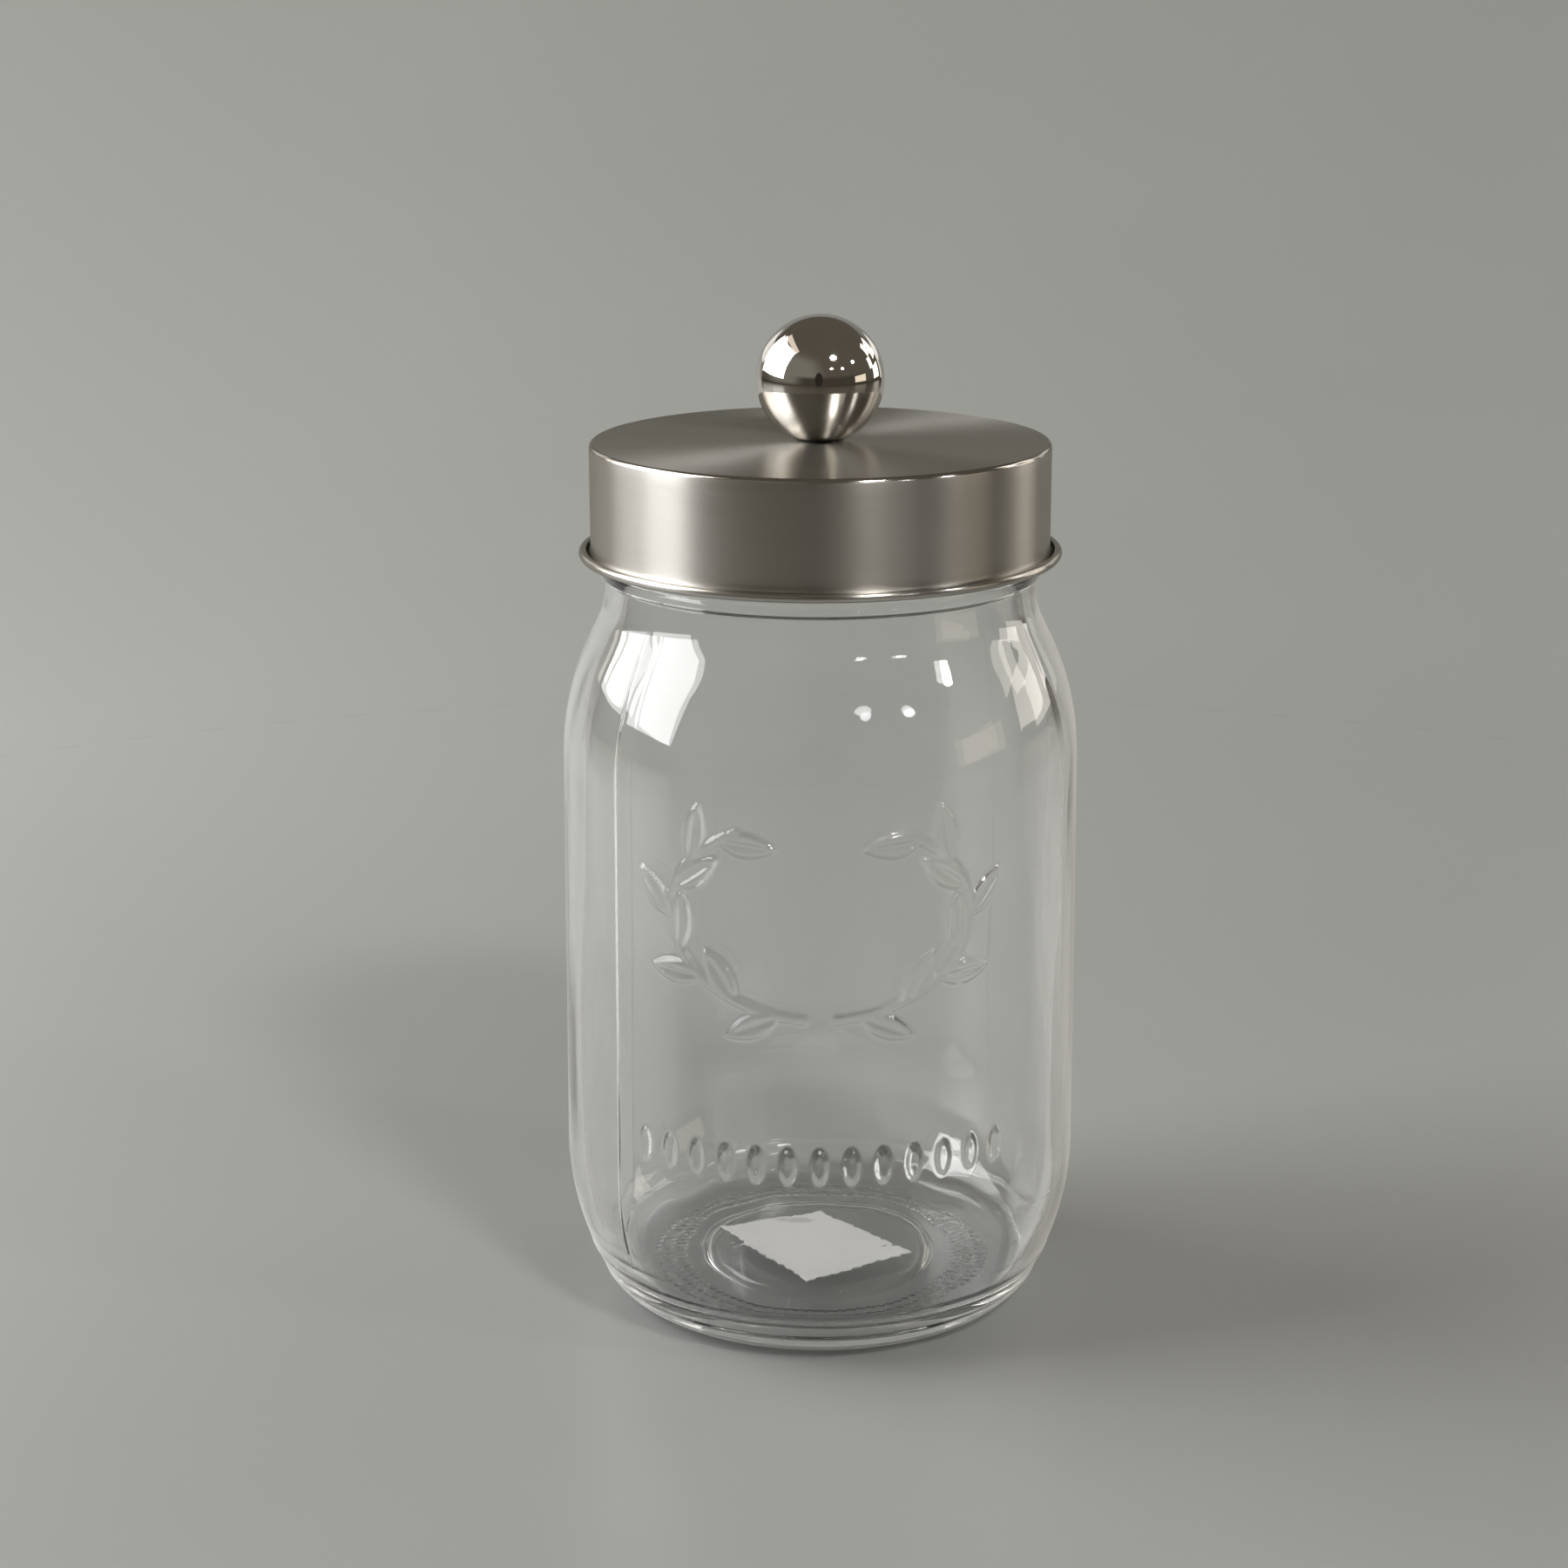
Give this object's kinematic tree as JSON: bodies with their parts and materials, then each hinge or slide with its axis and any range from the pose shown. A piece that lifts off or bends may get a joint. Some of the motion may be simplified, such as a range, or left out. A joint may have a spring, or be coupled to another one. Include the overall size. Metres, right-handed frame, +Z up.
{
  "type": "lidded glass canister",
  "caption": "Round clear glass canister with a slip-on brushed steel lid, a sealing ring and a polished ball knob; the lid lifts straight off.",
  "frame": {"origin": "middle of the foot ring, on the surface that the canister stands on", "axes": "+Z up along the canister's axis; -Y is the front with the raised wreath"},
  "size_m": [0.083, 0.0833, 0.1595],
  "materials": {
    "clear_glass": "clear pressed glass, smooth with slight waves",
    "label_paper": "matt white paper with torn edges",
    "brushed_steel": "fine circular brushing",
    "polished_steel": "mirror polish",
    "silicone": "translucent white silicone",
    "plated_steel": "bright zinc plate"
  },
  "bodies": {
    "jar": {"glass_jar": "clear_glass", "base_label": "label_paper"},
    "lid": {"lid_shell": "brushed_steel", "lid_gasket": "silicone", "knob_ball": "polished_steel", "knob_screw": "plated_steel", "flat_washer": "plated_steel", "spring_washer": "plated_steel"}
  },
  "joints": [
    {"name": "lid_lift", "type": "slide", "parent": "jar", "child": "lid", "axis": [0, 0, 1], "range_m": [0, 0.06]}
  ]
}
